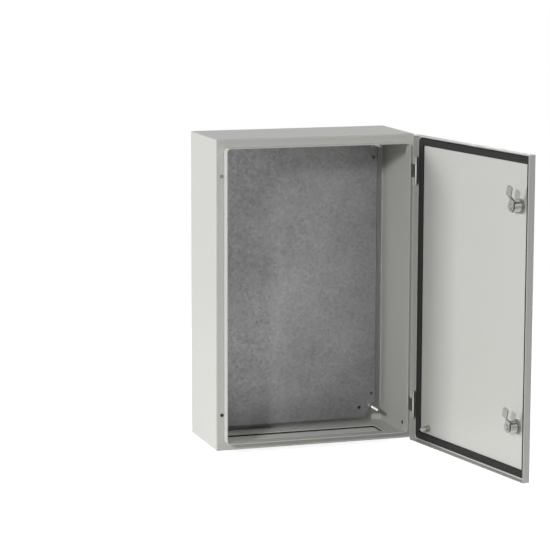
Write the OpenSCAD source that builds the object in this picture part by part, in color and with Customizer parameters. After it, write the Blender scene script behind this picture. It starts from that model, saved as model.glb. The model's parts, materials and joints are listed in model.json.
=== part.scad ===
// Wall enclosure in folded sheet steel. The door is hinged on the right, has two
// quarter-turn locks, and the mounting plate hangs on four long studs.
// The origin is the centre of the back face, X is to the right, Y into the wall, Z up.
// The door is drawn open. Its turn about the hinge pins is door_open.

/* [Cabinet] */
// Width of the cabinet
cabinet_w = 400; // [350:10:800]
// Height of the cabinet
cabinet_h = 600; // [500:10:1200]
// Depth from the wall to the outer face of the closed door
cabinet_d = 200; // [160:5:400]
// Thickness of the body sheet
body_sheet = 1.5; // [1.2:0.1:2]
// Outside radius of the folds in the body
body_fold = 2.5; // [2.2:0.1:4]
// Width of the flange that frames the opening
flange_w = 17; // [15:0.5:25]
// Corner radius of the opening
opening_r = 6; // [3:0.5:15]
// Distance from the body flange to the outer face of the closed door
door_stand = 28; // [26:0.5:32]

/* [Door] */
// How far the door is drawn open, in degrees
door_open = 99.8; // [0:0.1:110]
// Thickness of the door sheet
door_sheet = 1.5; // [1.2:0.1:2]
// Outside radius of the folds in the door
door_fold = 2.5; // [2.2:0.1:4]
// Depth of the folded door edge
door_edge = 14.5; // [10:0.5:16]
// Height of the gasket above the door sheet
gasket_h = 5.5; // [4:0.5:9]
// Width of the gasket
gasket_w = 14.5; // [14:0.5:18]
// Distance from the top, bottom and free edges of the door to the gasket
gasket_in = 5; // [4:0.5:6]
// Distance from the hinge side of the door to the gasket
gasket_hinge_in = 7.4; // [7.2:0.1:7.6]
// Corner radius of the outer line of the gasket
gasket_r = 8; // [4:0.5:12]
// Gap between the closed gasket and the lip
gasket_gap = 0.3; // [0.1:0.1:1]

/* [Hinges] */
// Distance from the top and from the bottom of the cabinet to the middle of a hinge
hinge_from_end = 70; // [50:5:120]
// Distance from the side of the cabinet to the hinge axis
hinge_in = 3.8; // [3.7:0.1:4]
// Distance from the body flange to the hinge axis
hinge_front = 19; // [18:0.5:20]
// Height of the middle knuckle
mid_knuckle_h = 26; // [20:1:40]
// Height of each outer knuckle
end_knuckle_h = 13; // [8:1:20]
// Outer radius of the middle knuckle
mid_knuckle_r = 3; // [2.6:0.1:3.6]
// Outer radius of the outer knuckles
end_knuckle_r = 2.2; // [2:0.1:2.5]
// Radius of the hinge pin
hinge_pin_r = 1.5; // [1:0.1:1.7]
// Thickness of the hinge leaves
hinge_leaf = 1.5; // [1:0.1:1.8]
// Distance from the side of the cabinet to the hinge screw and to the hole opposite
hinge_screw_in = 11.2; // [10.8:0.1:11.5]
// Radius of the hinge screw
hinge_screw_r = 2; // [1.5:0.1:2.5]
// Radius of the blanked holes for changing the hinge side
spare_hole_r = 2.8; // [2:0.1:3.2]

/* [Locks] */
// Distance from the top and from the bottom of the door to the lock axis
lock_from_end = 97; // [85:1:200]
// Distance from the free edge of the door to the lock axis
lock_from_edge = 43; // [41:0.5:60]
// Radius of the threaded lock barrel
barrel_r = 11; // [10:0.5:12]
// Radius of the lock collar outside the door
collar_r = 14; // [13.5:0.5:17]
// Thickness of the lock collar
collar_t = 3; // [2:0.5:5]
// Thickness of the seal under the collar
lock_seal_t = 0.8; // [0.5:0.1:1.5]
// How far the barrel stands behind the door sheet
barrel_behind = 19.5; // [16:0.5:21]
// Radius of the key recess
key_recess_r = 7; // [6.5:0.1:8]
// Radius of the round key pin
key_pin_r = 2.6; // [2:0.1:3]
// Width of the two key bits
key_bit_w = 2.6; // [2:0.1:3]
// Radius over the key bits
key_bit_r = 4.8; // [4:0.1:5.5]
// Radius of the lock shaft
lock_shaft_r = 5; // [4.5:0.1:6]
// Side of the square that drives the cam
cam_square = 7; // [6:0.1:7.5]
// Thickness of the cam
cam_t = 2.5; // [2:0.1:3]
// Width of the cam arm
cam_w = 15; // [11:0.5:17]
// Thickness of the lock nut
lock_nut_t = 5; // [4:0.5:7]
// How far the cams are drawn turned from upright to the free edge, in degrees
cam_turn = 15; // [0:1:90]

/* [Mounting plate] */
// Thickness of the mounting plate
plate_t = 2; // [1.5:0.1:3]
// Gap between the mounting plate and each side of the cabinet
plate_side_gap = 19; // [16:0.5:20]
// Gap between the mounting plate and the top and bottom of the cabinet
plate_end_gap = 12; // [10:0.5:14]
// Distance from the inside of the back to the mounting plate
plate_stand = 18; // [14:0.5:40]
// Depth of the folded sides of the mounting plate
plate_fold_d = 10; // [6:0.5:12]
// Width of the corner notches in the mounting plate
plate_notch_w = 19; // [17:0.5:24]
// Height of the corner notches in the mounting plate
plate_notch_h = 12; // [8:0.5:13]
// Distance from the side of the cabinet to a plate stud
stud_in = 28.5; // [28:0.5:32]
// Distance from the top or bottom of the cabinet to a plate stud
stud_end = 33; // [33:0.5:45]
// Radius of the plate studs
stud_r = 4; // [3:0.5:4]
// Length of stud in front of the mounting plate
stud_front = 45; // [20:1:50]
// Distance from the top or bottom of the cabinet to the cable tie holes
tie_hole_end = 60; // [55:1:70]

/* [Wall fixing and cable entry] */
// Distance from the side of the cabinet to a wall hole
wall_hole_in = 45; // [44:1:90]
// Distance from the top or bottom of the cabinet to a wall hole
wall_hole_end = 20; // [12:1:80]
// Radius of the wall holes
wall_hole_r = 4.25; // [3:0.25:5.5]
// Distance from the side of the cabinet to the end of the cable opening
entry_end = 34; // [30:1:100]
// Depth of the cable opening, front to back
entry_d = 58; // [50:1:90]
// Distance from the back face to the cable opening
entry_back = 52; // [50:1:60]
// How far the gland plate laps past the cable opening
gland_lap = 16; // [14:0.5:18]
// Thickness of the gland plate
gland_t = 2; // [1.5:0.1:3]
// Thickness of the gland plate gasket
gland_gasket_t = 3; // [2:0.5:4]
// Radius of the gland plate studs
gland_stud_r = 2.5; // [2:0.1:3]
// Radius of the earthing hole in the hinge side
earth_hole_r = 3.2; // [2:0.1:4]
// Distance from the body flange to the earthing hole
earth_hole_in = 37; // [30:1:60]
// Distance from the bottom of the cabinet to the earthing hole
earth_hole_up = 23; // [15:1:60]

/* [Door earth stud] */
// Distance from the hinge side of the door to the earth stud
earth_in = 51; // [40:1:80]
// Distance from the bottom of the door to the earth stud
earth_up = 31; // [28:1:60]
// Radius of the earth stud
earth_stud_r = 3; // [2.5:0.1:4]
// Length of the earth stud behind the door sheet
earth_stud_l = 19; // [16:0.5:25]

/* [Hidden] */
$fn = 48;

paint = "#c9cdc9";
galvanised = "#8b8f90";
zinc = "#b9bcbd";
rubber = "#2b2c2b";

half_w = cabinet_w / 2;
half_h = cabinet_h / 2;
cut = 1;                                   // how far a cutter runs past a face
run_gap = 0.05;                            // radial clearance of a turning fit
side_gap = 0.3;                            // clearance between parts that pass each other

// Body
shell_d = cabinet_d - door_stand;
front_y = -shell_d;                        // front plane of the body flange
opening_w = cabinet_w - 2 * flange_w;
opening_h = cabinet_h - 2 * flange_w;
lip_l = door_stand - door_sheet - gasket_h - gasket_gap;
inside_back_y = -body_sheet;

// Door, in its closed place
door_y = -cabinet_d;                       // outer face
door_in_y = door_y + door_sheet;           // inner face
gasket_out_w = cabinet_w - gasket_in - gasket_hinge_in;
gasket_out_h = cabinet_h - 2 * gasket_in;

// Hinge
hinge_z = half_h - hinge_from_end;
hinge_clear = 0.5;
pivot_x = half_w - hinge_in;
pivot_y = front_y - hinge_front;
leaf_side = pivot_x - mid_knuckle_r;       // hinge side of the leaf that comes off the body
leaf_foot = half_w - flange_w + body_sheet + hinge_clear;
hinge_h = mid_knuckle_h + 2 * end_knuckle_h + 2 * side_gap;
notch_y = pivot_y - mid_knuckle_r - hinge_clear;
notch_h = mid_knuckle_h + 4 * side_gap;
hinge_screw_head_r = 3.3;
hinge_screw_head_h = 2.4;
hinge_nut_r = 3.6;
hinge_nut_t = 3;

// Locks
lock_z = half_h - lock_from_end;
lock_x = -half_w + lock_from_edge;
barrel_end_y = door_in_y + barrel_behind;
cam_y = barrel_end_y + side_gap;
cam_behind = 1.5;                          // gap between the closed cam and the body
cam_hook_y = front_y + body_sheet + cam_behind;
cam_reach = lock_from_edge - body_sheet - cam_behind;
cam_hub_r = 9;
cam_corner = 1.5;
cam_bend_end = lock_from_edge - flange_w - 3;
cam_bend_start = cam_bend_end - 9;
key_recess_d = 12;
key_disc_t = 3;
key_face_in = 1.2;
cam_screw_r = 2.5;
cam_screw_head_r = 5.5;
cam_screw_head_h = 3;
cam_screw_l = 9;

// Mounting plate
plate_w = cabinet_w - 2 * plate_side_gap;
plate_h = cabinet_h - 2 * plate_end_gap;
plate_y = inside_back_y - plate_stand;     // back of the plate
plate_front_y = plate_y - plate_t;
stud_x = half_w - stud_in;
stud_z = half_h - stud_end;
stud_clear = 0.4;
spacer_r = 7;
plate_washer_r = 8;
plate_washer_t = 1.6;
plate_nut_r = 7.5;
plate_nut_t = 6.5;
tie_hole_r = 3.6;

// Cable entry
entry_w = cabinet_w - 2 * entry_end;
entry_y = -entry_back - entry_d / 2;
gland_w = entry_w + 2 * gland_lap;
gland_d = entry_d + 2 * gland_lap;
gland_stud_out = gland_lap / 2;            // stud line outside the cable opening
gland_nut_r = 4.6;
gland_nut_t = 4;
gland_stud_l = gland_gasket_t + gland_t + gland_nut_t + 2;

// A rectangle with round corners, centred on the origin.
module rounded_rect(w, h, r) {
    square([w - 2 * r, h], center = true);
    square([w, h - 2 * r], center = true);
    for (x = [-1, 1], y = [-1, 1]) translate([x * (w / 2 - r), y * (h / 2 - r)]) circle(r);
}

// A flat sheet in the XZ plane, from y to y - t.
module sheet_at(y, t) {
    translate([0, y, 0]) rotate([90, 0, 0]) linear_extrude(t) children();
}

// A box whose every edge is folded to radius r. Its back lies at y = 0.
module folded_box(w, d, h, r) {
    intersection() {
        rotate([90, 0, 0]) linear_extrude(d) rounded_rect(w, h, r);
        translate([0, -d / 2, -h / 2]) linear_extrude(h) rounded_rect(w, d, r);
        translate([-w / 2, -d / 2, 0]) rotate([90, 0, 90]) linear_extrude(w) rounded_rect(d, h, r);
    }
}

// A round bar along Y, from y forward by l.
module bar_y(y, r, l) {
    translate([0, y, 0]) rotate([90, 0, 0]) cylinder(r = r, h = l);
}

// A hexagon bar along Y, from y forward by l. Its corner radius is r.
module hex_y(y, r, l) {
    translate([0, y, 0]) rotate([90, 0, 0]) cylinder(r = r, h = l, $fn = 6);
}

// Places something at the four corners of a rectangle in the XZ plane.
module at_corners(x, z) {
    for (sx = [-1, 1], sz = [-1, 1]) translate([sx * x, 0, sz * z]) children();
}

// Turns something from the closed door to the drawn place of the door.
module with_door() {
    translate([pivot_x, pivot_y, 0]) rotate([0, 0, door_open])
        translate([-pivot_x, -pivot_y, 0]) children();
}

// Places something in the earthing hole, with Z out through the hinge side.
module at_earth_hole() {
    translate([half_w, front_y + earth_hole_in, -half_h + earth_hole_up])
        rotate([0, 90, 0]) children();
}

// Body: a tub of folded sheet. The front flange frames the opening and turns forward
// into the lip that presses into the door gasket.
module enclosure_shell() {
    color(paint) difference() {
        union() {
            difference() {
                folded_box(cabinet_w, shell_d, cabinet_h, body_fold);
                translate([0, inside_back_y, 0])
                    folded_box(cabinet_w - 2 * body_sheet, shell_d - 2 * body_sheet,
                        cabinet_h - 2 * body_sheet, body_fold - body_sheet);
            }
            sheet_at(front_y + body_sheet, lip_l + body_sheet)
                rounded_rect(opening_w + 2 * body_sheet, opening_h + 2 * body_sheet,
                    opening_r + body_sheet);
        }
        sheet_at(front_y + body_sheet + cut, lip_l + body_sheet + 2 * cut)
            rounded_rect(opening_w, opening_h, opening_r);
        at_corners(half_w - wall_hole_in, half_h - wall_hole_end)
            bar_y(cut, wall_hole_r, body_sheet + 2 * cut);
        translate([0, entry_y, -half_h - cut])
            linear_extrude(body_sheet + 2 * cut) rounded_rect(entry_w, entry_d, 5);
        for (z = [-hinge_z, hinge_z]) {
            translate([half_w - hinge_screw_in, 0, z])
                bar_y(front_y + body_sheet + cut, hinge_screw_r + 0.1, body_sheet + 2 * cut);
            translate([-half_w + hinge_screw_in, 0, z])
                bar_y(front_y + body_sheet + cut, spare_hole_r, body_sheet + 2 * cut);
        }
        at_earth_hole() translate([0, 0, -body_sheet - cut])
            cylinder(r = earth_hole_r, h = body_sheet + 2 * cut);
    }
}

// The flat outline of the gland plate and of its gasket.
module gland_outline() {
    rounded_rect(gland_w, gland_d, 6);
}

// Places something at each gland plate stud.
module at_gland_studs() {
    for (x = [-1, -1 / 3, 1 / 3, 1], y = [-1, 1])
        translate([x * (entry_w / 2 + gland_stud_out), entry_y + y * (entry_d / 2 + gland_stud_out),
            -half_h]) children();
}

// Closed-cell strip between the bottom of the body and the gland plate.
module gland_gasket() {
    color(rubber) difference() {
        translate([0, entry_y, -half_h - gland_gasket_t]) linear_extrude(gland_gasket_t)
            difference() {
                gland_outline();
                rounded_rect(entry_w, entry_d, 5);
            }
        at_gland_studs() translate([0, 0, -gland_gasket_t - cut])
            cylinder(r = gland_stud_r + 0.2, h = gland_gasket_t + 2 * cut);
    }
}

// Blank plate over the cable opening.
module gland_plate() {
    color(paint) difference() {
        translate([0, entry_y, -half_h - gland_gasket_t - gland_t]) linear_extrude(gland_t)
            gland_outline();
        at_gland_studs() translate([0, 0, -gland_gasket_t - gland_t - cut])
            cylinder(r = gland_stud_r + 0.2, h = gland_t + 2 * cut);
    }
}

// Weld studs under the bottom of the body.
module gland_studs() {
    color(zinc) at_gland_studs() translate([0, 0, -gland_stud_l])
        cylinder(r = gland_stud_r, h = gland_stud_l);
}

// Nuts that hold the gland plate.
module gland_nuts() {
    color(zinc) at_gland_studs()
        translate([0, 0, -gland_gasket_t - gland_t - gland_nut_t]) difference() {
            cylinder(r = gland_nut_r, h = gland_nut_t, $fn = 6);
            translate([0, 0, -cut]) cylinder(r = gland_stud_r, h = gland_nut_t + 2 * cut);
        }
}

// Mounting plate with notched corners and folded long sides.
module mounting_plate() {
    side_h = plate_h - 2 * plate_notch_h;
    fold_r = plate_t + 0.5;
    color(galvanised) difference() {
        union() {
            sheet_at(plate_y, plate_t) square([plate_w - 2 * plate_notch_w, plate_h], center = true);
            difference() {
                translate([0, plate_y + plate_fold_d, -side_h / 2]) linear_extrude(side_h)
                    translate([0, -(plate_fold_d + plate_t) / 2]) difference() {
                        rounded_rect(plate_w, plate_fold_d + plate_t, fold_r);
                        translate([0, plate_t])
                            rounded_rect(plate_w - 2 * plate_t, plate_fold_d + plate_t, 0.5);
                    }
                translate([-plate_w / 2 + plate_t, plate_y + plate_fold_d - fold_r, -half_h])
                    cube([plate_w - 2 * plate_t, fold_r + cut, cabinet_h]);
            }
        }
        at_corners(stud_x, stud_z) bar_y(plate_y + cut, stud_r + stud_clear, plate_t + 2 * cut);
        at_corners(stud_x, half_h - tie_hole_end) bar_y(plate_y + cut, tie_hole_r, plate_t + 2 * cut);
        at_corners(stud_x - 26, stud_z) bar_y(plate_y + cut, tie_hole_r, plate_t + 2 * cut);
    }
}

// Long weld studs on the back of the body.
module plate_studs() {
    flare = 1;
    color(zinc) at_corners(stud_x, stud_z) {
        bar_y(inside_back_y, stud_r, plate_stand + plate_t + stud_front);
        bar_y(inside_back_y, stud_r + flare, flare);
    }
}

// Sleeves that hold the mounting plate off the back.
module plate_spacers() {
    weld_room = 1.4;
    color(zinc) at_corners(stud_x, stud_z) difference() {
        bar_y(inside_back_y, spacer_r, plate_stand);
        bar_y(inside_back_y + cut, stud_r + stud_clear, plate_stand + 2 * cut);
        bar_y(inside_back_y + cut, stud_r + weld_room, weld_room + cut);
    }
}

// Washers in front of the mounting plate.
module plate_washers() {
    color(zinc) at_corners(stud_x, stud_z) difference() {
        bar_y(plate_front_y, plate_washer_r, plate_washer_t);
        bar_y(plate_front_y + cut, stud_r + stud_clear, plate_washer_t + 2 * cut);
    }
}

// Nuts that hold the mounting plate.
module plate_nuts() {
    nut_y = plate_front_y - plate_washer_t;
    color(zinc) at_corners(stud_x, stud_z) difference() {
        intersection() {
            hex_y(nut_y, plate_nut_r, plate_nut_t);
            bar_y(nut_y, plate_nut_r - 0.4, plate_nut_t);
        }
        bar_y(nut_y + cut, stud_r, plate_nut_t + 2 * cut);
    }
}

// Snap plug in a spare hinge hole.
module flange_plug(z) {
    head_r = spare_hole_r + 0.7;
    head_t = 0.5;
    translate([-half_w + hinge_screw_in, 0, z]) {
        bar_y(front_y, head_r, head_t);
        bar_y(front_y + body_sheet + 2.5, spare_hole_r - 0.05, body_sheet + 2.5);
    }
}

// Snap plug in the earthing hole: a round head outside and a hollow shank inside.
module earth_hole_plug() {
    head_t = 1.2;
    shank_l = body_sheet + 4;
    color(rubber) at_earth_hole() difference() {
        union() {
            cylinder(r1 = earth_hole_r + 1.8, r2 = earth_hole_r + 1.2, h = head_t);
            translate([0, 0, -shank_l]) cylinder(r = earth_hole_r - run_gap, h = shank_l + head_t / 2);
        }
        translate([0, 0, -shank_l - cut]) cylinder(r = earth_hole_r - 1.2, h = shank_l);
    }
}

module upper_flange_plug() { color(zinc) flange_plug(hinge_z); }
module lower_flange_plug() { color(rubber) flange_plug(-hinge_z); }

// Hinge leaf on the body: a foot on the flange, a web forward and the middle knuckle.
module hinge_body_leaf(z) {
    color(zinc) translate([0, 0, z - mid_knuckle_h / 2]) difference() {
        union() {
            translate([leaf_foot, front_y - hinge_leaf])
                cube([leaf_side + hinge_leaf - leaf_foot, hinge_leaf, mid_knuckle_h]);
            translate([leaf_side, pivot_y])
                cube([hinge_leaf, front_y - pivot_y, mid_knuckle_h]);
            translate([pivot_x, pivot_y]) cylinder(r = mid_knuckle_r, h = mid_knuckle_h);
        }
        translate([pivot_x, pivot_y, -cut])
            cylinder(r = hinge_pin_r, h = mid_knuckle_h + 2 * cut);
        translate([half_w - hinge_screw_in, 0, mid_knuckle_h / 2])
            bar_y(front_y + cut, hinge_screw_r + 0.1, hinge_leaf + 2 * cut);
    }
}

module upper_hinge_body_leaf() { hinge_body_leaf(hinge_z); }
module lower_hinge_body_leaf() { hinge_body_leaf(-hinge_z); }

// Hinge pin with a flat head at the top.
module hinge_pin(z) {
    head_h = 0.8;
    color(zinc) translate([pivot_x, pivot_y, z - hinge_h / 2]) {
        cylinder(r = hinge_pin_r, h = hinge_h + side_gap);
        translate([0, 0, hinge_h + side_gap]) cylinder(r = end_knuckle_r - 0.1, h = head_h);
    }
}

module upper_hinge_pin() { hinge_pin(hinge_z); }
module lower_hinge_pin() { hinge_pin(-hinge_z); }

// Screws through the hinge feet and the body flange.
module hinge_screws() {
    color(zinc) for (z = [-hinge_z, hinge_z]) translate([half_w - hinge_screw_in, 0, z]) {
        bar_y(front_y - hinge_leaf, hinge_screw_head_r, hinge_screw_head_h);
        bar_y(front_y + body_sheet + hinge_nut_t + 1, hinge_screw_r,
            hinge_leaf + body_sheet + hinge_nut_t + 1);
    }
}

// Nuts behind the body flange.
module hinge_nuts() {
    color(zinc) for (z = [-hinge_z, hinge_z]) translate([half_w - hinge_screw_in, 0, z])
        difference() {
            hex_y(front_y + body_sheet + hinge_nut_t, hinge_nut_r, hinge_nut_t);
            bar_y(front_y + body_sheet + hinge_nut_t + cut, hinge_screw_r, hinge_nut_t + 2 * cut);
        }
}

// Door: a shallow tray of folded sheet. The hinge edge is notched for the knuckles.
module door_panel() {
    tray_d = door_edge + 2 * door_fold;
    color(paint) with_door() difference() {
        translate([0, door_y + tray_d, 0]) folded_box(cabinet_w, tray_d, cabinet_h, door_fold);
        translate([0, door_in_y + tray_d, 0])
            folded_box(cabinet_w - 2 * door_sheet, tray_d, cabinet_h - 2 * door_sheet,
                door_fold - door_sheet);
        translate([-half_w - cut, door_y + door_edge, -half_h - cut])
            cube([cabinet_w + 2 * cut, tray_d, cabinet_h + 2 * cut]);
        for (z = [-hinge_z, hinge_z])
            translate([half_w - door_sheet - cut, notch_y, z - notch_h / 2])
                cube([door_sheet + 2 * cut, door_edge, notch_h]);
        for (z = [-lock_z, lock_z]) translate([lock_x, 0, z])
            bar_y(door_in_y + cut, barrel_r + 0.1, door_sheet + 2 * cut);
    }
}

// Foamed gasket that runs round the inside of the door.
module door_gasket() {
    color(rubber) with_door() sheet_at(door_in_y + gasket_h, gasket_h) difference() {
        translate([(gasket_in - gasket_hinge_in) / 2, 0])
            rounded_rect(gasket_out_w, gasket_out_h, gasket_r);
        translate([(gasket_in - gasket_hinge_in) / 2, 0])
            rounded_rect(gasket_out_w - 2 * gasket_w, gasket_out_h - 2 * gasket_w, 2);
    }
}

// Hinge leaf on the door: a strip welded inside the folded edge, with two knuckles.
module hinge_door_leaf(z) {
    strip_x = half_w - door_sheet - hinge_leaf;
    strip_y = door_y + door_fold + side_gap;
    color(zinc) with_door() difference() {
        union() {
            translate([strip_x, strip_y, z - hinge_h / 2])
                cube([hinge_leaf, pivot_y - strip_y, hinge_h]);
            translate([pivot_x, pivot_y, z - hinge_h / 2])
                cylinder(r = end_knuckle_r, h = hinge_h);
        }
        translate([pivot_x - mid_knuckle_r - cut, notch_y, z - mid_knuckle_h / 2 - side_gap])
            cube([2 * mid_knuckle_r + 2 * cut, 3 * mid_knuckle_r, mid_knuckle_h + 2 * side_gap]);
        translate([pivot_x, pivot_y, z - hinge_h / 2 - cut])
            cylinder(r = hinge_pin_r + run_gap, h = hinge_h + 2 * cut);
    }
}

module upper_hinge_door_leaf() { hinge_door_leaf(hinge_z); }
module lower_hinge_door_leaf() { hinge_door_leaf(-hinge_z); }

// Lock housing: a bevelled collar outside the door and a threaded barrel through it.
module lock_housing(z) {
    seal_y = door_y - lock_seal_t;
    bevel = 0.8;
    color(zinc) with_door() translate([lock_x, 0, z]) difference() {
        union() {
            bar_y(seal_y, collar_r, collar_t - bevel);
            translate([0, seal_y - collar_t + bevel, 0]) rotate([90, 0, 0])
                cylinder(r1 = collar_r, r2 = collar_r - bevel, h = bevel);
            bar_y(barrel_end_y, barrel_r, barrel_end_y - seal_y);
        }
        bar_y(seal_y - collar_t + key_recess_d, key_recess_r, key_recess_d + cut);
        bar_y(barrel_end_y + cut, lock_shaft_r + run_gap, barrel_end_y - seal_y + collar_t);
    }
}

module upper_lock_housing() { lock_housing(lock_z); }
module lower_lock_housing() { lock_housing(-lock_z); }

// Seals between the lock collars and the door.
module lock_seals() {
    color(rubber) with_door() for (z = [-lock_z, lock_z]) translate([lock_x, 0, z]) difference() {
        bar_y(door_y, collar_r - 0.3, lock_seal_t);
        bar_y(door_y + cut, barrel_r, lock_seal_t + 2 * cut);
    }
}

// Hexagon nut with a round flange behind the door sheet.
module lock_nut(z) {
    flange_t = 1.5;
    color(zinc) with_door() translate([lock_x, 0, z]) difference() {
        union() {
            bar_y(door_in_y + flange_t, collar_r, flange_t);
            intersection() {
                hex_y(door_in_y + lock_nut_t, collar_r + 1, lock_nut_t);
                bar_y(door_in_y + lock_nut_t, collar_r, lock_nut_t);
            }
        }
        bar_y(door_in_y + lock_nut_t + cut, barrel_r, lock_nut_t + 2 * cut);
    }
}

module upper_lock_nut() { lock_nut(lock_z); }
module lower_lock_nut() { lock_nut(-lock_z); }

// Turns something about a lock axis from upright to its drawn place.
module with_cam(z) {
    translate([lock_x, 0, z]) rotate([0, -cam_turn, 0]) children();
}

// Lock spindle: a double-bit key pin on a disc, a shaft, and a square for the cam.
module lock_spindle(z) {
    face_y = door_y - lock_seal_t - collar_t + key_face_in;
    disc_y = door_y - lock_seal_t - collar_t + key_recess_d;
    color(zinc) with_door() with_cam(z) {
        bar_y(disc_y, key_pin_r, disc_y - face_y);
        intersection() {
            bar_y(disc_y, key_bit_r, disc_y - face_y);
            translate([-key_bit_r, face_y, -key_bit_w / 2])
                cube([2 * key_bit_r, disc_y - face_y, key_bit_w]);
        }
        bar_y(disc_y, key_recess_r - 2 * run_gap, key_disc_t);
        difference() {
            union() {
                bar_y(barrel_end_y + side_gap, lock_shaft_r, barrel_end_y + side_gap - disc_y);
                translate([-cam_square / 2, cam_y, -cam_square / 2])
                    cube([cam_square, cam_t, cam_square]);
            }
            bar_y(cam_y + cam_t + cut, cam_screw_r, cam_screw_l + cut);
        }
    }
}

module upper_lock_spindle() { lock_spindle(lock_z); }
module lower_lock_spindle() { lock_spindle(-lock_z); }

// Cam: a round hub on the spindle and an arm that is cranked to reach behind the flange.
module lock_cam(z) {
    color(zinc) with_door() with_cam(z) difference() {
        union() {
            bar_y(cam_y + cam_t, cam_hub_r, cam_t);
            translate([-cam_w / 2, 0, 0]) rotate([90, 0, 90]) linear_extrude(cam_w) polygon([
                [cam_y, 0],
                [cam_y, cam_bend_start],
                [cam_hook_y, cam_bend_end],
                [cam_hook_y, cam_reach],
                [cam_hook_y + cam_t, cam_reach],
                [cam_hook_y + cam_t, cam_bend_end - 1],
                [cam_y + cam_t, cam_bend_start - 1],
                [cam_y + cam_t, 0]
            ]);
        }
        for (side = [-1, 1]) translate([side * cam_w / 2, 0, cam_reach]) rotate([0, 45, 0])
            translate([-cam_corner, cam_hook_y - cut, -cam_corner])
                cube([2 * cam_corner, cam_t + 2 * cut, 2 * cam_corner]);
        translate([-cam_square / 2, cam_y - cut, -cam_square / 2])
            cube([cam_square, cam_t + 2 * cut, cam_square]);
    }
}

module upper_lock_cam() { lock_cam(lock_z); }
module lower_lock_cam() { lock_cam(-lock_z); }

// Screw that holds the cam on the spindle.
module cam_screw(z) {
    head_y = cam_y + cam_t;
    color(zinc) with_door() with_cam(z) {
        hex_y(head_y + cam_screw_head_h, cam_screw_head_r, cam_screw_head_h - 1);
        bar_y(head_y + 1, cam_screw_head_r + 0.7, 1);
        bar_y(head_y, cam_screw_r, cam_screw_l - 1);
    }
}

module upper_cam_screw() { cam_screw(lock_z); }
module lower_cam_screw() { cam_screw(-lock_z); }

// Places something at the earth stud of the door.
module at_door_earth() {
    with_door() translate([half_w - earth_in, 0, -half_h + earth_up]) children();
}

// Weld stud for the earth strap of the door.
module door_earth_stud() {
    color(zinc) at_door_earth() {
        bar_y(door_in_y + earth_stud_l, earth_stud_r, earth_stud_l);
        bar_y(door_in_y + 1, earth_stud_r + 1, 1);
    }
}

// Two washers on the earth stud.
module door_earth_washers() {
    washer_t = 1.2;
    color(zinc) at_door_earth() for (i = [0, 1]) difference() {
        bar_y(door_in_y + 1 + (i + 1) * washer_t, 2 * earth_stud_r + 0.3 - i, washer_t);
        bar_y(door_in_y + cut + 4, earth_stud_r + 0.2, 5 + cut);
    }
}

// Nut on the earth stud.
module door_earth_nut() {
    nut_t = 5;
    color(zinc) at_door_earth() difference() {
        hex_y(door_in_y + 3.4 + nut_t, 1.9 * earth_stud_r, nut_t);
        bar_y(door_in_y + 3.4 + nut_t + cut, earth_stud_r, nut_t + 2 * cut);
    }
}

enclosure_shell();
gland_gasket();
gland_plate();
gland_studs();
gland_nuts();
mounting_plate();
plate_studs();
plate_spacers();
plate_washers();
plate_nuts();
upper_flange_plug();
lower_flange_plug();
earth_hole_plug();
upper_hinge_body_leaf();
lower_hinge_body_leaf();
upper_hinge_pin();
lower_hinge_pin();
hinge_screws();
hinge_nuts();
door_panel();
door_gasket();
upper_hinge_door_leaf();
lower_hinge_door_leaf();
upper_lock_housing();
lower_lock_housing();
upper_lock_nut();
lower_lock_nut();
lock_seals();
door_earth_stud();
door_earth_washers();
door_earth_nut();
upper_lock_spindle();
lower_lock_spindle();
upper_lock_cam();
lower_lock_cam();
upper_cam_screw();
lower_cam_screw();
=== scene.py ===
# Dresses the wall enclosure: finishes for every part, threads, screw heads and the
# foamed door seal, then the camera, lamps and floor.
import json
import math

import bpy
import bmesh
from mathutils import Matrix, Vector


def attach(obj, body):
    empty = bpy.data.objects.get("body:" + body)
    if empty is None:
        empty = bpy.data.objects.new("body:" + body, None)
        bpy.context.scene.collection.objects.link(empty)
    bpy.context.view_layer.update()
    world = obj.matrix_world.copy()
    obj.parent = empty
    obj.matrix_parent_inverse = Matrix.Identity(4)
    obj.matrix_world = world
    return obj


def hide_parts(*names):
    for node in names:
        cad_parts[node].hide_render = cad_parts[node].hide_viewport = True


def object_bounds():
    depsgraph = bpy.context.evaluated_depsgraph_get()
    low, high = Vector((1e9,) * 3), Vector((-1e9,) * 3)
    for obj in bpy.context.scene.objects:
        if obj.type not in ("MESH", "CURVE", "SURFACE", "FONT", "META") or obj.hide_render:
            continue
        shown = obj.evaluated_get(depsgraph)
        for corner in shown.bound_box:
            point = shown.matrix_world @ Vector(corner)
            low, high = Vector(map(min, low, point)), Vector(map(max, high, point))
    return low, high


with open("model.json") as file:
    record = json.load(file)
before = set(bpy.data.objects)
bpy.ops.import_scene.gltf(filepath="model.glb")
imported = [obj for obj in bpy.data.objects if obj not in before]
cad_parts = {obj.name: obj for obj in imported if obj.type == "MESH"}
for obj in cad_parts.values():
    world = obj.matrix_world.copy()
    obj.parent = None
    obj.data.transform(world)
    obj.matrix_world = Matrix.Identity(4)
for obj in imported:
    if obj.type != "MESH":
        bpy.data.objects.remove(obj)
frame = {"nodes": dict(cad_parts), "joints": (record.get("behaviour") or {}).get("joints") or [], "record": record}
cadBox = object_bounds()
nodes = frame["nodes"]
mm = 0.001

# sockets of a Mix node, by number: their names are the same for each kind of data
mixShare, mixLow, mixHigh, mixOut = 0, 2, 3, 0
mixShade, mixColour, mixColourOut = 6, 7, 2


def toLinear(hexColour):
    # an sRGB hex value as the linear colour that the shaders take
    parts = [int(hexColour[i:i + 2], 16) / 255 for i in (1, 3, 5)]
    linear = [c / 12.92 if c <= 0.04045 else ((c + 0.055) / 1.055) ** 2.4 for c in parts]
    return (*linear, 1)


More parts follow.
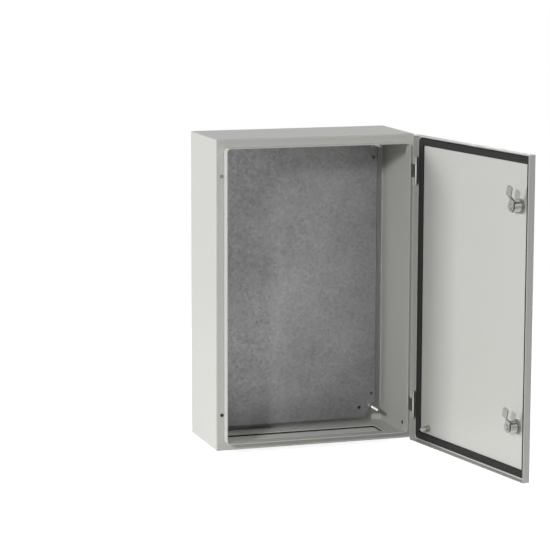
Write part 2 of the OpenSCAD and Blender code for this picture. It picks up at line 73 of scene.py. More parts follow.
def addNode(tree, kind, settings=None, values=None, links=None):
    # settings: the node's own properties; values and links: by input name or number
    node = tree.nodes.new(kind)
    for name, value in (settings or {}).items():
        setattr(node, name, value)
    for name, value in (values or {}).items():
        node.inputs[name].default_value = value
    for name, output in (links or {}).items():
        tree.links.new(output, node.inputs[name])
    return node


def startMaterial(name):
    material = bpy.data.materials.new(name)
    material.use_nodes = True
    material.node_tree.nodes.clear()
    return material, material.node_tree


def endMaterial(tree, shader):
    addNode(tree, "ShaderNodeOutputMaterial", links={"Surface": shader.outputs[0]})


# Textured powder coat: epoxy polyester baked on sheet steel. A soft sheen broken by
# a fine grain, so broad highlights and no mirror reflections.
paint = {
    "colour": "#cccdc8",
    "shadeColour": "#c5c6c1",
    "roughness": 0.42,
    "ior": 1.5,
    "grain": 2.4 * mm,        # the real grain is near 0.8 mm; drawn coarser so that it shows
    "grainHeight": 0.035 * mm,
    "waveSize": 70 * mm,      # slow waves of the sheet under the paint
    "waveHeight": 0.10 * mm,
}


def makePowderCoat():
    material, tree = startMaterial("texturedPowderCoat")
    place = addNode(tree, "ShaderNodeTexCoord").outputs["Object"]
    grain = addNode(tree, "ShaderNodeTexNoise",
                    values={"Scale": 1 / paint["grain"], "Detail": 3.0, "Roughness": 0.6},
                    links={"Vector": place})
    wave = addNode(tree, "ShaderNodeTexNoise",
                   values={"Scale": 1 / paint["waveSize"], "Detail": 1.0}, links={"Vector": place})
    tone = addNode(tree, "ShaderNodeMix", settings={"data_type": "RGBA"},
                   values={mixShade: toLinear(paint["shadeColour"]),
                           mixColour: toLinear(paint["colour"])},
                   links={mixShare: grain.outputs["Fac"]})
    waveBump = addNode(tree, "ShaderNodeBump",
                       values={"Strength": 1.0, "Distance": paint["waveHeight"]},
                       links={"Height": wave.outputs["Fac"]})
    grainBump = addNode(tree, "ShaderNodeBump",
                        values={"Strength": 1.0, "Distance": paint["grainHeight"]},
                        links={"Height": grain.outputs["Fac"], "Normal": waveBump.outputs[0]})
    shader = addNode(tree, "ShaderNodeBsdfPrincipled",
                     values={"Roughness": paint["roughness"], "IOR": paint["ior"]},
                     links={"Base Color": tone.outputs[mixColourOut], "Normal": grainBump.outputs[0]})
    endMaterial(tree, shader)
    return material


# Hot-dip galvanised sheet: small zinc crystals under a dull white bloom. Half matt,
# with broad cloudy patches and only a faint outline of each crystal.
galvanised = {
    "dark": "#7e7f7f",
    "light": "#a2a3a3",
    "metallic": 0.75,         # the bloom covers a part of the metal
    "roughness": (0.44, 0.6),
    "spangle": 5 * mm,
    "spangleShare": 0.14,
    "bend": 0.5,              # how far a crystal's outline wanders, in crystals
    "bendsPerSpangle": 2.2,
    "cloud": 150 * mm,
    "drag": 14 * mm,          # pull marks of the wiped bath
    "dragShare": 0.2,
    "contrast": (0.3, 0.7),   # the mixed pattern's values that become dark and light
    "relief": 0.35,
    "reliefHeight": 0.04 * mm,
}


def makeGalvanised():
    material, tree = startMaterial("galvanisedSheet")
    place = addNode(tree, "ShaderNodeTexCoord").outputs["Object"]
    bend = addNode(tree, "ShaderNodeTexNoise",
                   values={"Scale": galvanised["bendsPerSpangle"] / galvanised["spangle"],
                           "Detail": 2.0},
                   links={"Vector": place})
    bentPlace = addNode(tree, "ShaderNodeVectorMath", settings={"operation": "MULTIPLY_ADD"},
                        values={1: (galvanised["bend"] * galvanised["spangle"],) * 3},
                        links={0: bend.outputs["Color"], 2: place})
    spangle = addNode(tree, "ShaderNodeTexVoronoi", values={"Scale": 1 / galvanised["spangle"]},
                      links={"Vector": bentPlace.outputs[0]})
    fleck = addNode(tree, "ShaderNodeSeparateColor", links={0: spangle.outputs["Color"]})
    cloud = addNode(tree, "ShaderNodeTexNoise",
                    values={"Scale": 1 / galvanised["cloud"], "Detail": 5.0, "Roughness": 0.6},
                    links={"Vector": place})
    drag = addNode(tree, "ShaderNodeTexNoise",
                   values={"Scale": 1 / galvanised["drag"], "Detail": 3.0, "Roughness": 0.7,
                           "Distortion": 0.6},
                   links={"Vector": place})
    bloom = addNode(tree, "ShaderNodeMix", settings={"data_type": "FLOAT"},
                    values={mixShare: galvanised["dragShare"]},
                    links={mixLow: cloud.outputs["Fac"], mixHigh: drag.outputs["Fac"]})
    mixed = addNode(tree, "ShaderNodeMix", settings={"data_type": "FLOAT"},
                    values={mixShare: galvanised["spangleShare"]},
                    links={mixLow: bloom.outputs[mixOut], mixHigh: fleck.outputs["Red"]})
    tone = addNode(tree, "ShaderNodeMapRange",
                   values={"From Min": galvanised["contrast"][0],
                           "From Max": galvanised["contrast"][1]},
                   links={"Value": mixed.outputs[mixOut]})
    colour = addNode(tree, "ShaderNodeMix", settings={"data_type": "RGBA"},
                     values={mixShade: toLinear(galvanised["dark"]),
                             mixColour: toLinear(galvanised["light"])},
                     links={mixShare: tone.outputs[0]})
    rough = addNode(tree, "ShaderNodeMapRange",
                    values={"To Min": galvanised["roughness"][0], "To Max": galvanised["roughness"][1]},
                    links={"Value": fleck.outputs["Green"]})
    bump = addNode(tree, "ShaderNodeBump",
                   values={"Strength": galvanised["relief"], "Distance": galvanised["reliefHeight"]},
                   links={"Height": mixed.outputs[mixOut]})
    shader = addNode(tree, "ShaderNodeBsdfPrincipled", values={"Metallic": galvanised["metallic"]},
                     links={"Base Color": colour.outputs[mixColourOut],
                            "Roughness": rough.outputs[0], "Normal": bump.outputs[0]})
    endMaterial(tree, shader)
    return material


# Zinc-magnesium coated sheet of the cable entry cover: paler and flatter than the mounting plate, an even silvery
# white with fine rolling lines along X. Its near-white is partly the coating and partly painted light, which
# stands in for the strong light that falls on the front of the cabinet floor.
paleSheet = {
    # near-white: partly painted light for the strong light on the cabinet floor
    "colour": "#f4f4f2",
    "shadeColour": "#e6e6e4",
    "metallic": 0.15,
    "roughness": 0.45,
    "line": 1.2 * mm,
    "stretch": 0.03,          # squeezes the pattern along X, which draws it out into lines
    "relief": 0.4,
    "reliefHeight": 0.01 * mm,
}


def makePaleSheet():
    material, tree = startMaterial("paleSheetAndPaintedLight")
    place = addNode(tree, "ShaderNodeTexCoord").outputs["Object"]
    drawn = addNode(tree, "ShaderNodeMapping", values={"Scale": (paleSheet["stretch"], 1.0, 1.0)},
                    links={"Vector": place})
    line = addNode(tree, "ShaderNodeTexNoise", values={"Scale": 1 / paleSheet["line"], "Detail": 2.0},
                   links={"Vector": drawn.outputs[0]})
    colour = addNode(tree, "ShaderNodeMix", settings={"data_type": "RGBA"},
                     values={mixShade: toLinear(paleSheet["shadeColour"]),
                             mixColour: toLinear(paleSheet["colour"])},
                     links={mixShare: line.outputs["Fac"]})
    bump = addNode(tree, "ShaderNodeBump",
                   values={"Strength": paleSheet["relief"], "Distance": paleSheet["reliefHeight"]},
                   links={"Height": line.outputs["Fac"]})
    shader = addNode(tree, "ShaderNodeBsdfPrincipled",
                     values={"Metallic": paleSheet["metallic"], "Roughness": paleSheet["roughness"]},
                     links={"Base Color": colour.outputs[mixColourOut], "Normal": bump.outputs[0]})
    endMaterial(tree, shader)
    return material


# Bright zinc plating on steel fasteners and hinge leaves: silvery and semi-bright,
# with a faint cloudiness from the bath.
zinc = {
    "colour": "#b2b2b0",
    "shadeColour": "#a2a2a0",
    "roughness": (0.37, 0.43),
    "patch": 1.5 * mm,
    "contrast": (0.2, 0.8),
}


def makeZinc():
    material, tree = startMaterial("brightZincPlate")
    place = addNode(tree, "ShaderNodeTexCoord").outputs["Object"]
    patch = addNode(tree, "ShaderNodeTexNoise", values={"Scale": 1 / zinc["patch"], "Detail": 3.0},
                    links={"Vector": place})
    colour = addNode(tree, "ShaderNodeMix", settings={"data_type": "RGBA"},
                     values={mixShade: toLinear(zinc["shadeColour"]),
                             mixColour: toLinear(zinc["colour"])},
                     links={mixShare: patch.outputs["Fac"]})
    rough = addNode(tree, "ShaderNodeMapRange",
                    values={"From Min": zinc["contrast"][0], "From Max": zinc["contrast"][1],
                            "To Min": zinc["roughness"][0], "To Max": zinc["roughness"][1]},
                    links={"Value": patch.outputs["Fac"]})
    shader = addNode(tree, "ShaderNodeBsdfPrincipled", values={"Metallic": 1.0},
                     links={"Base Color": colour.outputs[mixColourOut], "Roughness": rough.outputs[0]})
    endMaterial(tree, shader)
    return material


# Zinc die casting with satin chrome: warm white metal, smooth, small cast ripples.
chrome = {
    "colour": "#acacaa",
    "shadeColour": "#9c9c9a",
    "roughness": 0.2,
    "ripple": 4 * mm,
    "rippleHeight": 0.02 * mm,
}


def makeSatinChrome():
    material, tree = startMaterial("satinChrome")
    place = addNode(tree, "ShaderNodeTexCoord").outputs["Object"]
    ripple = addNode(tree, "ShaderNodeTexNoise", values={"Scale": 1 / chrome["ripple"], "Detail": 2.0},
                     links={"Vector": place})
    colour = addNode(tree, "ShaderNodeMix", settings={"data_type": "RGBA"},
                     values={mixShade: toLinear(chrome["shadeColour"]),
                             mixColour: toLinear(chrome["colour"])},
                     links={mixShare: ripple.outputs["Fac"]})
    bump = addNode(tree, "ShaderNodeBump", values={"Strength": 1.0, "Distance": chrome["rippleHeight"]},
                   links={"Height": ripple.outputs["Fac"]})
    shader = addNode(tree, "ShaderNodeBsdfPrincipled",
                     values={"Metallic": 1.0, "Roughness": chrome["roughness"]},
                     links={"Base Color": colour.outputs[mixColourOut], "Normal": bump.outputs[0]})
    endMaterial(tree, shader)
    return material


# Foamed-in-place polyurethane: a closed skin over fine cells. Matt charcoal with a
# pebbled surface.
foam = {
    "colour": "#1c1d1c",
    "shadeColour": "#141514",
    "roughness": 0.8,
    "ior": 1.45,
    "patch": 25 * mm,
    "cell": 1.6 * mm,
    "relief": 0.7,
    "reliefHeight": 0.25 * mm,
}


def makeFoam():
    material, tree = startMaterial("foamedPolyurethane")
    place = addNode(tree, "ShaderNodeTexCoord").outputs["Object"]
    cell = addNode(tree, "ShaderNodeTexVoronoi", values={"Scale": 1 / foam["cell"]},
                   links={"Vector": place})
    patch = addNode(tree, "ShaderNodeTexNoise", values={"Scale": 1 / foam["patch"], "Detail": 3.0},
                    links={"Vector": place})
    colour = addNode(tree, "ShaderNodeMix", settings={"data_type": "RGBA"},
                     values={mixShade: toLinear(foam["shadeColour"]),
                             mixColour: toLinear(foam["colour"])},
                     links={mixShare: patch.outputs["Fac"]})
    bump = addNode(tree, "ShaderNodeBump",
                   values={"Strength": foam["relief"], "Distance": foam["reliefHeight"]},
                   links={"Height": cell.outputs["Distance"]})
    shader = addNode(tree, "ShaderNodeBsdfPrincipled",
                     values={"Roughness": foam["roughness"], "IOR": foam["ior"]},
                     links={"Base Color": colour.outputs[mixColourOut], "Normal": bump.outputs[0]})
    endMaterial(tree, shader)
    return material


# Moulded nylon for plugs and lock seals: a smooth matt face with a faint spark texture.
nylon = {
    "black": {"colour": "#181919", "shadeColour": "#121313"},
    "grey": {"colour": "#8f9291", "shadeColour": "#858887"},
    "roughness": 0.5,
    "ior": 1.5,
    "spark": 0.6 * mm,
    "relief": 0.5,
    "reliefHeight": 0.03 * mm,
}


def makeNylon(tint):
    material, tree = startMaterial(tint + "Nylon")
    place = addNode(tree, "ShaderNodeTexCoord").outputs["Object"]
    spark = addNode(tree, "ShaderNodeTexNoise", values={"Scale": 1 / nylon["spark"], "Detail": 2.0},
                    links={"Vector": place})
    colour = addNode(tree, "ShaderNodeMix", settings={"data_type": "RGBA"},
                     values={mixShade: toLinear(nylon[tint]["shadeColour"]),
                             mixColour: toLinear(nylon[tint]["colour"])},
                     links={mixShare: spark.outputs["Fac"]})
    bump = addNode(tree, "ShaderNodeBump",
                   values={"Strength": nylon["relief"], "Distance": nylon["reliefHeight"]},
                   links={"Height": spark.outputs["Fac"]})
    shader = addNode(tree, "ShaderNodeBsdfPrincipled",
                     values={"Roughness": nylon["roughness"], "IOR": nylon["ior"]},
                     links={"Base Color": colour.outputs[mixColourOut], "Normal": bump.outputs[0]})
    endMaterial(tree, shader)
    return material


finishes = {
    "grey_paint": makePowderCoat(),
    "galvanised": makeGalvanised(),
    "zinc": makeZinc(),
    "die_cast": makeSatinChrome(),
    "foam_rubber": makeFoam(),
    "black_plastic": makeNylon("black"),
    "grey_plastic": makeNylon("grey"),
}
for part in frame["record"]["subparts"]:
    holder = nodes[part["node"]]
    holder.data.materials.clear()
    holder.data.materials.append(finishes[part["material_slot"]])
# the entry cover gets the near-white sheet, partly painted light for the light on the cabinet floor
nodes["gland_plate"].data.materials[0] = makePaleSheet()
print("finishes on", len(nodes), "nodes")

# Pieces of the door are made for the closed door, then swung open with doorPlace.
hinge = [joint for joint in frame["joints"] if joint["name"] == "door_hinge"][0]
pivot = Vector(hinge["pos_m"])
doorTurn = -math.radians(hinge["range_deg"][0])
doorPlace = Matrix.Translation(pivot) @ Matrix.Rotation(doorTurn, 4, "Z") @ Matrix.Translation(-pivot)
forward = Matrix.Rotation(math.pi / 2, 4, "X")        # turns +Z to the front, -Y
backward = Matrix.Rotation(-math.pi / 2, 4, "X")      # turns +Z to the back, +Y
touching = 0.001 * mm                                 # corners closer than this are one


def partBoxes(nodeName, place=Matrix()):
    # lowest and highest corner of each separate solid of a node, seen from place
    source = bmesh.new()
    source.from_mesh(nodes[nodeName].data)
    source.transform(place.inverted())
    bmesh.ops.remove_doubles(source, verts=source.verts, dist=touching)
    left, found = set(source.verts), []
    while left:
        waiting, group = [left.pop()], []
        while waiting:
            vert = waiting.pop()
            group.append(vert.co.copy())
            for edge in vert.link_edges:
                other = edge.other_vert(vert)
                if other in left:
                    left.remove(other)
                    waiting.append(other)
        found.append((Vector(min(co[i] for co in group) for i in range(3)),
                      Vector(max(co[i] for co in group) for i in range(3))))
    source.free()
    # from left to right, then up, then back, so that the order is the same in each run
    return sorted(found, key=lambda pair: [round(pair[0][axis], 4) for axis in (0, 2, 1)])


def addPiece(name, bm, body, slotName, replaced, smoothAngle):
    mesh = bpy.data.meshes.new(name)
    bmesh.ops.recalc_face_normals(bm, faces=bm.faces)
    bm.to_mesh(mesh)
    bm.free()
    mesh.materials.append(finishes[slotName])
    mesh.shade_smooth()
    mesh.set_sharp_from_angle(angle=math.radians(smoothAngle))
    piece = bpy.data.objects.new(name, mesh)
    bpy.context.scene.collection.objects.link(piece)
    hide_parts(*replaced)
    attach(piece, body)


def skinRow(bm, low, high, around):
    # faces between two rings; a ring of one corner is a point
    for step in range(around):
        nextStep = (step + 1) % around
        corners = [low[step % len(low)], low[nextStep % len(low)],
                   high[nextStep % len(high)], high[step % len(high)]]
        corners = list(dict.fromkeys(corners))
        if len(corners) > 2:
            bm.faces.new(corners)


def addRings(bm, place, rings, around):
    # skins a row of rings (radius, height); a radius of 0 closes to a point
    turns = [2 * math.pi * step / around for step in range(around)]
    rows = []
    for radius, height in rings:
        if radius == 0:
            rows.append([bm.verts.new(place @ Vector((0, 0, height)))])
            continue
        spots = [Vector((radius * math.cos(turn), radius * math.sin(turn), height)) for turn in turns]
        rows.append([bm.verts.new(place @ spot) for spot in spots])
    for low, high in zip(rows, rows[1:]):
        skinRow(bm, low, high, around)
    return rows


threadDepth = 0.6             # of a rolled thread, in pitches


def addThread(bm, place, radius, pitch, length, around, core=None):
    # A V thread along +Z from place, chamfered at both ends. The core is a row of
    # rings that joins the far end back to the near end; without it both ends are flat.
    root = radius - threadDepth * pitch
    found = {}                # corners by their rounded place, so that neighbours share them

    def corner(row, step):
        # even rows are crests, odd rows are roots; one turn is two rows
        if step == around:
            row, step = row + 2, 0
        height = min(max(pitch * (row / 2 + step / around - 1), 0), length)
        reach = min(radius if row % 2 == 0 else root, root + min(height, length - height))
        turn = 2 * math.pi * step / around
        key = (step, round(height, 7), round(reach, 7))
        if key not in found:
            spot = Vector((reach * math.cos(turn), reach * math.sin(turn), height))
            found[key] = bm.verts.new(place @ spot)
        return found[key]

    for row in range(int(2 * length / pitch) + 3):
        for step in range(around):
            ring = [corner(row, step), corner(row, step + 1),
                    corner(row + 1, step + 1), corner(row + 1, step)]
            ring = list(dict.fromkeys(ring))
            if len(ring) > 2:
                bm.faces.new(ring)
    near = [found[(step, 0.0, round(root, 7))] for step in range(around)]
    far = [found[(step, round(length, 7), round(root, 7))] for step in range(around)]
    if core is None:
        bm.faces.new(near)
        bm.faces.new(far)
        return
    rows = addRings(bm, place, core, around)
    skinRow(bm, far, rows[0], around)
    skinRow(bm, rows[-1], near, around)


# Weld studs: zinc-plated steel with rolled metric threads. The larger ones show the
# small flare that the weld leaves round the foot.
studs = {
    "plate": {"radius": 4 * mm, "pitch": 1.25 * mm, "flare": 5 * mm, "flareHeight": 1 * mm},
    "gland": {"radius": 2.5 * mm, "pitch": 0.8 * mm},
    "earth": {"radius": 3 * mm, "pitch": 1.0 * mm, "flare": 4 * mm, "flareHeight": 1 * mm},
    "flareRim": 0.6,          # upright share of the flare's height
    "around": 20,
    "glandAround": 16,
    "smoothAngle": 25,
}


def addFlaredStud(bm, place, spec, length):
    flare, height = spec["flare"], spec["flareHeight"]
    root = spec["radius"] - threadDepth * spec["pitch"]
    foot = [(0, 0), (flare, 0), (flare, studs["flareRim"] * height), (root, height), (0, height)]
    addRings(bm, place, foot, studs["around"])
    addThread(bm, place @ Matrix.Translation((0, 0, height)), spec["radius"], spec["pitch"],
              length - height, studs["around"])


def makePlateStuds():
    bm = bmesh.new()
    for low, high in partBoxes("plate_studs"):
        place = Matrix.Translation(((low.x + high.x) / 2, high.y, (low.z + high.z) / 2)) @ forward
        addFlaredStud(bm, place, studs["plate"], high.y - low.y)
    addPiece("plateStuds", bm, "cabinet", "zinc", ["plate_studs"], studs["smoothAngle"])


def makeGlandStuds():
    spec = studs["gland"]
    bm = bmesh.new()
    for low, high in partBoxes("gland_studs"):
        centre = (low + high) / 2
        place = Matrix.Translation((centre.x, centre.y, low.z))
        addThread(bm, place, spec["radius"], spec["pitch"], high.z - low.z, studs["glandAround"])
    addPiece("glandStuds", bm, "cabinet", "zinc", ["gland_studs"], studs["smoothAngle"])


def makeDoorEarthStud():
    low, high = partBoxes("door_earth_stud", doorPlace)[0]
    foot = Matrix.Translation(((low.x + high.x) / 2, low.y, (low.z + high.z) / 2))
    bm = bmesh.new()
    addFlaredStud(bm, doorPlace @ foot @ backward, studs["earth"], high.y - low.y)
    addPiece("doorEarthStud", bm, "door", "zinc", ["door_earth_stud"], studs["smoothAngle"])


# Lock barrels: die-cast, M22 x 1.5 thread behind a bevelled collar, a round recess for
# the double-bit key in front and a bore for the spindle behind it.
barrel = {
    "threadRadius": 11 * mm,
    "pitch": 1.5 * mm,
    "collar": 14 * mm,
    "collarDepth": 3 * mm,
    "bevel": 0.8 * mm,
    "bevelBreak": (0.2 * mm, 0.24 * mm),        # inward and back: makes the bevel two facets
    "recess": 7 * mm,
    "recessDepth": 12 * mm,
    "recessBevel": 0.32 * mm,
    "bore": 5.3 * mm,
    "around": 40,
    "smoothAngle": 30,
}


def makeLockBarrels():
    collar, recess, bore = barrel["collar"], barrel["recess"], barrel["bore"]
    front, bevel, recessBevel = -barrel["collarDepth"], barrel["bevel"], barrel["recessBevel"]
    breakIn, breakBack = barrel["bevelBreak"]
    floor = barrel["recessDepth"] - barrel["collarDepth"]
    for name in ("upper", "lower"):
        low, high = partBoxes(name + "_lock_housing", doorPlace)[0]
        centre = (low + high) / 2
        seat = low.y + barrel["collarDepth"]
        length = high.y - seat
        place = doorPlace @ Matrix.Translation((centre.x, seat, centre.z)) @ backward
        core = [(bore, length), (bore, floor), (recess, floor), (recess, front + recessBevel),
                (recess + recessBevel, front), (collar - bevel, front),
                (collar - breakIn, front + breakBack), (collar, front + bevel), (collar, 0)]
        bm = bmesh.new()
        addThread(bm, place, barrel["threadRadius"], barrel["pitch"], length, barrel["around"], core)
        addPiece(name + "LockBarrel", bm, "door", "die_cast", [name + "_lock_housing"],
                 barrel["smoothAngle"])


# Foamed-in-place seal: a soft bead with a rounded crown, poured in one run, so its
# height and width sway a little and it rises where the run starts and stops.
seal = {
    "width": 14.5 * mm,
    "outerRadius": 8 * mm,
    "cornerSteps": 6,
    # half of the section, from the edge to the crown: shares of the width and the height
    "profile": ((0.0, 0.0), (0.004, 0.45), (0.022, 0.72), (0.07, 0.89), (0.16, 0.975), (0.32, 1.0)),
    "sway": 0.35 * mm,
    "swayLength": 55 * mm,
    "secondSway": 0.6,        # a quicker wave over the first: its share
    "secondQuicker": 2.7,     # and how much quicker
    "joinRise": 0.35 * mm,    # the join is in the middle of the bottom run
    "joinLength": 26 * mm,
    "inset": 0.3 * mm,
    "step": 7 * mm,
    "smoothAngle": 50,
}


def sealPath(low, high):
    # points along the middle of the bead, each with its way outward: (x, z, outX, outZ)
    half = seal["width"] / 2
    corner = seal["outerRadius"] - half
    left, right = low.x + half, high.x - half
    bottom, top = low.z + half, high.z - half
    corners = ((right - corner, top - corner, 0), (left + corner, top - corner, 90),
               (left + corner, bottom + corner, 180), (right - corner, bottom + corner, 270))
    bends = []
    for centreX, centreZ, startAngle in corners:
        for part in range(seal["cornerSteps"] + 1):
            turn = math.radians(startAngle + 90 / seal["cornerSteps"] * part)
            bends.append((centreX + corner * math.cos(turn), centreZ + corner * math.sin(turn),
                          math.cos(turn), math.sin(turn)))
    path = []
    for here, after in zip(bends, bends[1:] + bends[:1]):
        count = max(1, round(math.hypot(after[0] - here[0], after[1] - here[1]) / seal["step"]))
        for part in range(count):
            share = part / count
            path.append(tuple(h + (a - h) * share for h, a in zip(here, after)))
    return path


def makeDoorSeal():
    low, high = partBoxes("door_gasket", doorPlace)[0]
    half, tall = seal["width"] / 2, high.y - low.y
    profile = [(-half + seal["width"] * across, up) for across, up in seal["profile"]]
    profile += [(-across, up) for across, up in reversed(profile)]
    path = sealPath(low, high)
    bm = bmesh.new()
    rows, run, before = [], 0, path[-1]
    for x, z, outX, outZ in path:
        run += math.hypot(x - before[0], z - before[1])
        before = (x, z)
        phase = run / seal["swayLength"]
        wave = math.sin(phase) + seal["secondSway"] * math.sin(seal["secondQuicker"] * phase + 1)
        wave /= 1 + seal["secondSway"]
        fromJoin = (x - (low.x + high.x) / 2) / (seal["joinLength"] / 2)
        join = math.exp(-fromJoin ** 2) if z < 0 else 0
        height = tall - seal["sway"] * (0.5 + 0.5 * wave) - seal["joinRise"] * (1 - join)
        narrow = 1 - (seal["inset"] / half) * (0.5 - 0.5 * wave) * (1 - join)
        row = []
        for across, up in profile:
            out = across * narrow
            point = Vector((x + outX * out, low.y + height * up, z + outZ * out))
            row.append(bm.verts.new(doorPlace @ point))
        rows.append(row)
    for row, after in zip(rows, rows[1:] + rows[:1]):
        for i in range(len(row)):
            j = (i + 1) % len(row)
            bm.faces.new((row[i], row[j], after[j], after[i]))
    addPiece("doorSeal", bm, "door", "foam_rubber", ["door_gasket"], seal["smoothAngle"])


# Pan-head screws of the hinges: rounded head, cross recess.
panHead = {
    "radius": 3.3 * mm,
    "height": 2.4 * mm,
    # rings from the seat up to the flat: shares of the radius and the height
    "crown": ((1.0, 0.0), (1.0, 0.35), (0.93, 0.68), (0.78, 0.92), (0.66, 1.0)),
    "around": 24,
    "shank": 2 * mm,
    "pitch": 0.7 * mm,
    "shankAround": 14,
    "slotReach": 1.9 * mm,
    "slotWidth": 0.8 * mm,
    "slotDepth": 1.1 * mm,
    "slotTaper": 0.72,        # floor of the recess as a share of its mouth
    "smoothAngle": 30,
}


def addCrossRecess(bm, place, rim):
    # a cross-shaped pit in the flat top inside rim
    half, reach = panHead["slotWidth"] / 2, panHead["slotReach"]
    arm, outline = [(reach, -half), (reach, half), (half, half)], []
    for quarter in range(4):
        outline += arm
        arm = [(-y, x) for x, y in arm]
    mouthHeight, taper = panHead["height"], panHead["slotTaper"]
    floorHeight = mouthHeight - panHead["slotDepth"]
    mouth = [bm.verts.new(place @ Vector((x, y, mouthHeight))) for x, y in outline]
    floor = [bm.verts.new(place @ Vector((taper * x, taper * y, floorHeight))) for x, y in outline]
    edges = [bm.edges.new((a, b)) for a, b in zip(mouth, mouth[1:] + mouth[:1])]
    edges += [bm.edges.get((a, b)) for a, b in zip(rim, rim[1:] + rim[:1])]
    bmesh.ops.triangle_fill(bm, use_beauty=True, edges=edges)
    for a, b, c, d in zip(mouth, mouth[1:] + mouth[:1], floor[1:] + floor[:1], floor):
        bm.faces.new((a, b, c, d))
    bm.faces.new(floor)


def makeHingeScrews():
    radius, height, shank = panHead["radius"], panHead["height"], panHead["shank"]
    crown = [(shank, 0)] + [(across * radius, up * height) for across, up in panHead["crown"]]
    bm = bmesh.new()
    for low, high in partBoxes("hinge_screws"):
        centre = (low + high) / 2
        place = Matrix.Translation((centre.x, low.y + height, centre.z)) @ forward
        rows = addRings(bm, place, crown, panHead["around"])
        addCrossRecess(bm, place, rows[-1])
        bm.faces.new(rows[0])
        addThread(bm, place @ Matrix.Rotation(math.pi, 4, "X"), shank, panHead["pitch"],
                  high.y - low.y - height, panHead["shankAround"])
    addPiece("hingeScrews", bm, "cabinet", "zinc", ["hinge_screws"], panHead["smoothAngle"])


# Small hardware gets the soft edges of tumbled and plated parts.
softEdge = {
    "width": 0.3 * mm,
    "segments": 2,
    "sharpAngle": 40,
    "on": ("upper_lock_cam", "lower_lock_cam", "upper_lock_nut", "lower_lock_nut",
           "upper_cam_screw", "lower_cam_screw", "plate_nuts", "gland_nuts", "hinge_nuts",
           "door_earth_nut", "upper_hinge_body_leaf", "lower_hinge_body_leaf",
           "upper_hinge_door_leaf", "lower_hinge_door_leaf"),
}


def softenEdges():
    for name in softEdge["on"]:
        bevel = nodes[name].modifiers.new("softEdge", "BEVEL")
        bevel.width = softEdge["width"]
        bevel.segments = softEdge["segments"]
        bevel.limit_method = "ANGLE"
        bevel.angle_limit = math.radians(softEdge["sharpAngle"])


makePlateStuds()
makeGlandStuds()
makeDoorEarthStud()
print("threaded studs")
makeLockBarrels()
print("lock barrels")
makeDoorSeal()
print("door seal")
makeHingeScrews()
softenEdges()
print("hinge screws and soft edges")

# Camera: its place in metres, its turns in degrees, its lens and sensor in millimetres.
camera = {
    "eye": (-1.4774, -4.4647, 0.765),
    "heading": -18.0,         # 0 looks straight into the cabinet
    "drop": 9.161,            # below the level
    "roll": 0.15,
    "lens": 156.659,
    "sensor": 36,
    "farEnd": 50,
}


def placeCamera():
    data = bpy.data.cameras.new("camera")
    eye = bpy.data.objects.new("camera", data)
    bpy.context.scene.collection.objects.link(eye)
    data.sensor_fit = "HORIZONTAL"
    data.sensor_width = camera["sensor"]
    data.lens = camera["lens"]
    data.clip_end = camera["farEnd"]
    heading, drop, roll = (math.radians(camera[key]) for key in ("heading", "drop", "roll"))
    eye.matrix_world = (Matrix.Translation(camera["eye"]) @ Matrix.Rotation(heading, 4, "Z")
                        @ Matrix.Rotation(math.pi / 2 - drop, 4, "X") @ Matrix.Rotation(roll, 4, "Z"))
    bpy.context.scene.camera = eye


# Soft boxes, all aimed at one point: places and sizes in metres, power in watts.
lamps = {
    "key": {"from": (-2.8, -3.38, 1.5), "size": (0.4, 0.4), "power": 88},
    "side": {"from": (-4.38, 0.68, 0.96), "size": (1.0, 1.0), "power": 115},
    "front": {"from": (1.95, -2.36, 3.52), "size": (2.0, 2.0), "power": 42},
    "back": {"from": (3.0, 3.41, 0.40), "size": (2.4, 0.8), "power": 80},
}
room = {"aim": (0.05, -0.1, 0.0), "strength": 0.06, "white": "#ffffff"}


def addLamp(name, spec):
    data = bpy.data.lights.new(name, "AREA")
    data.shape = "RECTANGLE"
    data.size, data.size_y = spec["size"]
    data.energy = spec["power"]
    lamp = bpy.data.objects.new(name, data)
    bpy.context.scene.collection.objects.link(lamp)
    turn = (Vector(room["aim"]) - Vector(spec["from"])).to_track_quat("-Z", "Y")
    lamp.matrix_world = Matrix.Translation(spec["from"]) @ turn.to_matrix().to_4x4()


def seenDirectly(tree):
    # 1 where the camera sees a thing straight, in a reflection or through glass
    path = addNode(tree, "ShaderNodeLightPath")
    seen = path.outputs["Is Camera Ray"]
    for ray in ("Is Glossy Ray", "Is Transmission Ray"):
        seen = addNode(tree, "ShaderNodeMath", settings={"operation": "MAXIMUM"},
                       links={0: seen, 1: path.outputs[ray]}).outputs[0]
    return seen


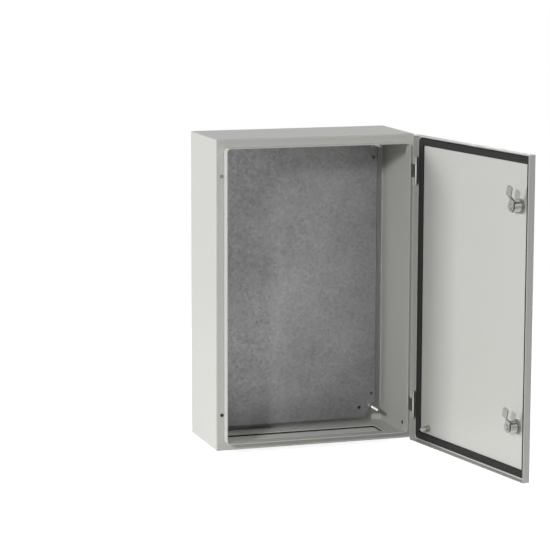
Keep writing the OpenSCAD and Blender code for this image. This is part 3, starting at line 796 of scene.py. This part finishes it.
def lightRoom():
    # the lamps, and a world that looks white but gives only a little light
    for name, spec in lamps.items():
        addLamp(name + "Lamp", spec)
    world = bpy.data.worlds.new("paleRoom")
    bpy.context.scene.world = world
    world.use_nodes = True
    tree = world.node_tree
    tree.nodes.clear()
    strength = addNode(tree, "ShaderNodeMapRange", values={"To Min": room["strength"], "To Max": 1.0},
                       links={"Value": seenDirectly(tree)})
    sky = addNode(tree, "ShaderNodeBackground", values={"Color": toLinear(room["white"])},
                  links={"Strength": strength.outputs[0]})
    addNode(tree, "ShaderNodeOutputWorld", links={"Surface": sky.outputs[0]})


# White sweep: keeps the soft shadow near the cabinet and thins out into the pale room.
sweep = {
    "colour": "#ededeb",
    "glow": 0.83,             # share of the white that it shows by itself, which softens the shadow
    "fadeStart": 0.7,
    "fadeEnd": 2.2,
    "halfSide": 2.42,
    "below": 0.5 * mm,        # gap under the cabinet, so that no faces coincide
}


def layFloor():
    bm = bmesh.new()
    bmesh.ops.create_grid(bm, x_segments=1, y_segments=1, size=sweep["halfSide"])
    mesh = bpy.data.meshes.new("floor")
    bm.to_mesh(mesh)
    bm.free()
    floor = bpy.data.objects.new("floor", mesh)
    bpy.context.scene.collection.objects.link(floor)
    floor.location = (0, 0, cadBox[0][2] - sweep["below"])
    material, tree = startMaterial("paleFloor")
    matt = addNode(tree, "ShaderNodeBsdfDiffuse", values={"Color": toLinear(sweep["colour"])})
    glow = addNode(tree, "ShaderNodeEmission", values={"Color": toLinear(room["white"])},
                   links={"Strength": seenDirectly(tree)})
    both = addNode(tree, "ShaderNodeAddShader", links={0: matt.outputs[0], 1: glow.outputs[0]})
    lit = addNode(tree, "ShaderNodeMixShader", values={0: sweep["glow"]},
                  links={1: matt.outputs[0], 2: both.outputs[0]})
    place = addNode(tree, "ShaderNodeTexCoord").outputs["Object"]
    reach = addNode(tree, "ShaderNodeVectorMath", settings={"operation": "LENGTH"}, links={0: place})
    fade = addNode(tree, "ShaderNodeMapRange", settings={"interpolation_type": "SMOOTHSTEP"},
                   values={"From Min": sweep["fadeStart"], "From Max": sweep["fadeEnd"]},
                   links={"Value": reach.outputs["Value"]})
    clear = addNode(tree, "ShaderNodeBsdfTransparent")
    thin = addNode(tree, "ShaderNodeMixShader",
                   links={0: fade.outputs[0], 1: lit.outputs[0], 2: clear.outputs[0]})
    endMaterial(tree, thin)
    mesh.materials.append(material)


placeCamera()
lightRoom()
layFloor()
bpy.context.scene.view_settings.view_transform = "Standard"
print("camera, lamps and floor")
